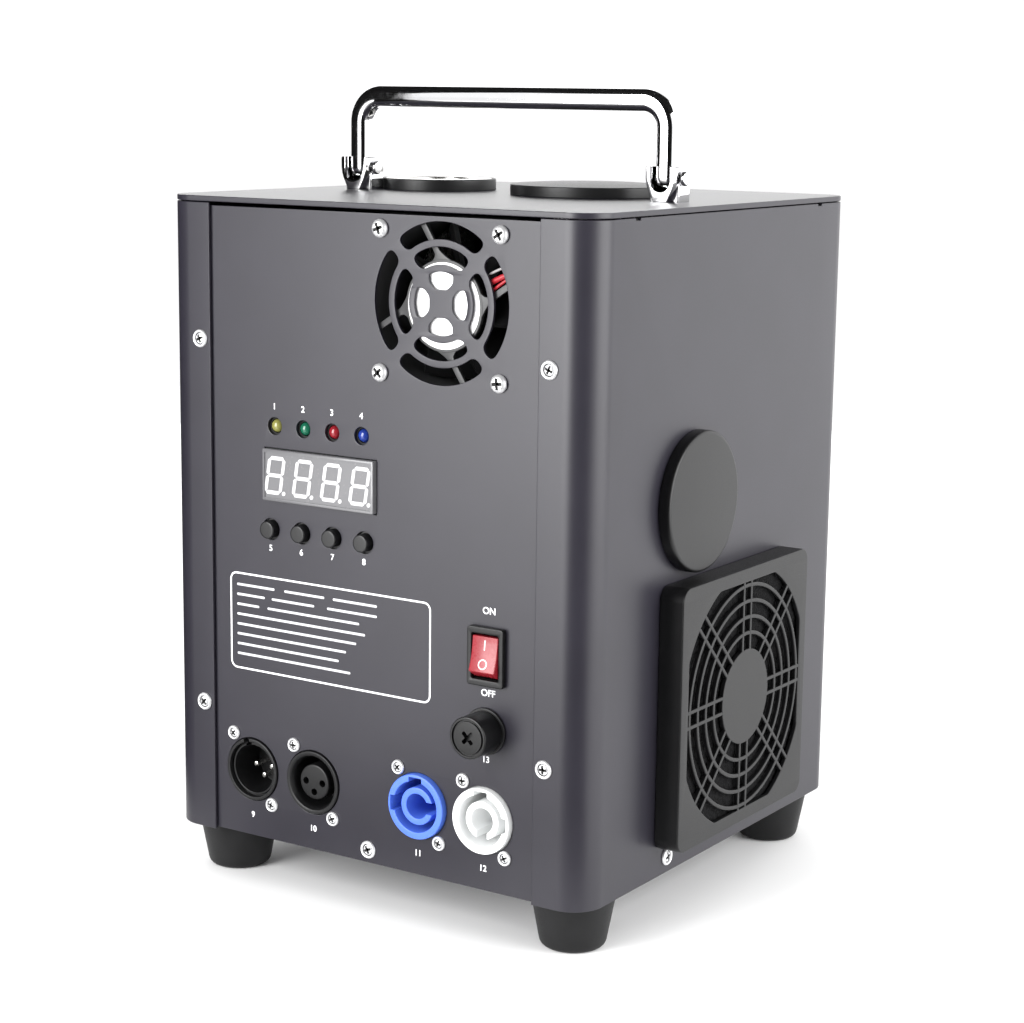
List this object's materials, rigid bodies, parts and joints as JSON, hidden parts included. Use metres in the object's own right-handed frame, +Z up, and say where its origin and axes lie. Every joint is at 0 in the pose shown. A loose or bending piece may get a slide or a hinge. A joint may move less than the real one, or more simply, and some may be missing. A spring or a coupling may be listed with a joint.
{
  "type": "cold spark machine",
  "caption": "Compact box-shaped cold spark machine with a folding handle, hopper lid, spark outlet, control panel, panel connectors and a filtered side fan, on rubber feet.",
  "frame": {"origin": "on the surface it stands on, under the middle of the whole outline", "axes": "+Z up, -Y out of the control panel, +X out of the filtered fan side"},
  "size_m": [0.196, 0.2012, 0.298],
  "materials": {
    "case_coat": "fine satin powder coat",
    "foot_rubber": "matte moulded rubber",
    "handle_chrome": "polished chrome plate",
    "zinc_steel": "zinc plated",
    "stainless": "brushed stainless",
    "heater_shell": "unglazed ceramic",
    "insulation": "woven glass wool",
    "block_aluminium": "machined",
    "bush_brass": "turned",
    "black_plastic": "fine satin moulding",
    "circuit_board": "solder mask",
    "display_silver": "glossy face",
    "lens_olive": "tinted epoxy lens",
    "lens_green": "tinted epoxy lens",
    "lens_red": "tinted epoxy lens",
    "lens_blue": "tinted epoxy lens",
    "button_grey": "satin moulding",
    "rocker_red": "glossy moulding",
    "fuse_glass": "clear tube",
    "socket_blue": "satin moulding",
    "socket_white": "satin moulding",
    "filter_foam": "open-cell foam"
  },
  "bodies": {
    "case": {"cover_wrap": "case_coat", "top_plate": "case_coat", "rear_panel": "case_coat", "base_tray": "case_coat", "foot_rear_left": "foot_rubber", "foot_rear_right": "foot_rubber", "foot_front_left": "foot_rubber", "foot_front_right": "foot_rubber", "handle_bracket_left": "handle_chrome", "handle_bracket_right": "handle_chrome", "handle_pin_left": "zinc_steel", "handle_pin_right": "zinc_steel", "outlet_ring": "black_plastic", "spark_tube": "stainless", "heater_chamber": "stainless", "heater_band": "heater_shell", "insulation_jacket": "insulation", "chassis_shelf": "zinc_steel", "hopper_funnel": "stainless", "feed_block": "block_aluminium", "feed_bush": "bush_brass", "feed_motor": "zinc_steel", "blower_housing": "black_plastic", "power_supply": "circuit_board", "rear_fan_frame": "black_plastic", "fan_screw_1": "zinc_steel", "fan_screw_2": "zinc_steel", "fan_screw_3": "zinc_steel", "fan_screw_4": "zinc_steel", "control_board": "circuit_board", "display_module": "display_silver", "indicator_1": "lens_olive", "indicator_2": "lens_green", "indicator_3": "lens_red", "indicator_4": "lens_blue", "switch_body": "black_plastic", "fuse_holder": "black_plastic", "signal_in_socket": "black_plastic", "signal_out_socket": "black_plastic", "power_in_socket": "socket_blue", "power_out_socket": "socket_white", "side_fan_frame": "black_plastic", "guard_frame": "black_plastic", "filter_pad": "filter_foam"},
    "handle": {"handle_bar": "handle_chrome"},
    "lid": {"hopper_lid": "black_plastic"},
    "key_1": {"button_1": "button_grey"},
    "key_2": {"button_2": "button_grey"},
    "key_3": {"button_3": "button_grey"},
    "key_4": {"button_4": "button_grey"},
    "rocker": {"switch_rocker": "rocker_red"},
    "fuse_carrier": {"fuse_link": "fuse_glass"},
    "fuse_knob": {"fuse_cap": "black_plastic"},
    "guard": {"guard_cover": "black_plastic"},
    "plug": {"port_plug": "foot_rubber"},
    "side_rotor": {"side_fan_rotor": "black_plastic"},
    "rear_rotor": {"rear_fan_rotor": "black_plastic"},
    "auger": {"feed_auger": "stainless"},
    "impeller": {"blower_impeller": "black_plastic"}
  },
  "joints": [
    {"name": "handle_fold", "type": "hinge", "parent": "case", "child": "handle", "pos_m": [-0.005, -0.00195, 0.2664], "axis": [1, 0, 0], "range_deg": [0, 90]},
    {"name": "hopper_lid_lift", "type": "slide", "parent": "case", "child": "lid", "axis": [0, 0, 1], "range_m": [0, 0.02]},
    {"name": "button_1_press", "type": "slide", "parent": "case", "child": "key_1", "axis": [0, 1, 0], "range_m": [0, 0.0008], "stiffness_N_per_m": 200},
    {"name": "button_2_press", "type": "slide", "parent": "case", "child": "key_2", "axis": [0, 1, 0], "range_m": [0, 0.0008], "stiffness_N_per_m": 200},
    {"name": "button_3_press", "type": "slide", "parent": "case", "child": "key_3", "axis": [0, 1, 0], "range_m": [0, 0.0008], "stiffness_N_per_m": 200},
    {"name": "button_4_press", "type": "slide", "parent": "case", "child": "key_4", "axis": [0, 1, 0], "range_m": [0, 0.0008], "stiffness_N_per_m": 200},
    {"name": "rocker_tilt", "type": "hinge", "parent": "case", "child": "rocker", "pos_m": [0.0466, -0.08895, 0.1046], "axis": [1, 0, 0], "range_deg": [0, 22.9]},
    {"name": "fuse_pull", "type": "slide", "parent": "case", "child": "fuse_carrier", "axis": [0, -1, 0], "range_m": [0, 0.03]},
    {"name": "fuse_cap_turn", "type": "hinge", "parent": "fuse_carrier", "child": "fuse_knob", "pos_m": [0.0461, -0.08895, 0.0778], "axis": [0, -1, 0], "range_deg": [0, 90]},
    {"name": "guard_pull", "type": "slide", "parent": "case", "child": "guard", "axis": [1, 0, 0], "range_m": [0, 0.012]},
    {"name": "port_plug_pull", "type": "slide", "parent": "case", "child": "plug", "axis": [1, 0, 0], "range_m": [0, 0.012]},
    {"name": "side_fan_spin", "type": "hinge", "parent": "case", "child": "side_rotor", "pos_m": [0.074, 0.00505, 0.078], "axis": [1, 0, 0], "continuous": true},
    {"name": "rear_fan_spin", "type": "hinge", "parent": "case", "child": "rear_rotor", "pos_m": [0.0252, -0.075, 0.2246], "axis": [0, -1, 0], "continuous": true},
    {"name": "feed_auger_spin", "type": "hinge", "parent": "case", "child": "auger", "pos_m": [0, 0.02355, 0.185], "axis": [1, 0, 0], "continuous": true},
    {"name": "blower_spin", "type": "hinge", "parent": "case", "child": "impeller", "pos_m": [-0.038, 0.02355, 0.0557], "axis": [0, -1, 0], "continuous": true}
  ]
}
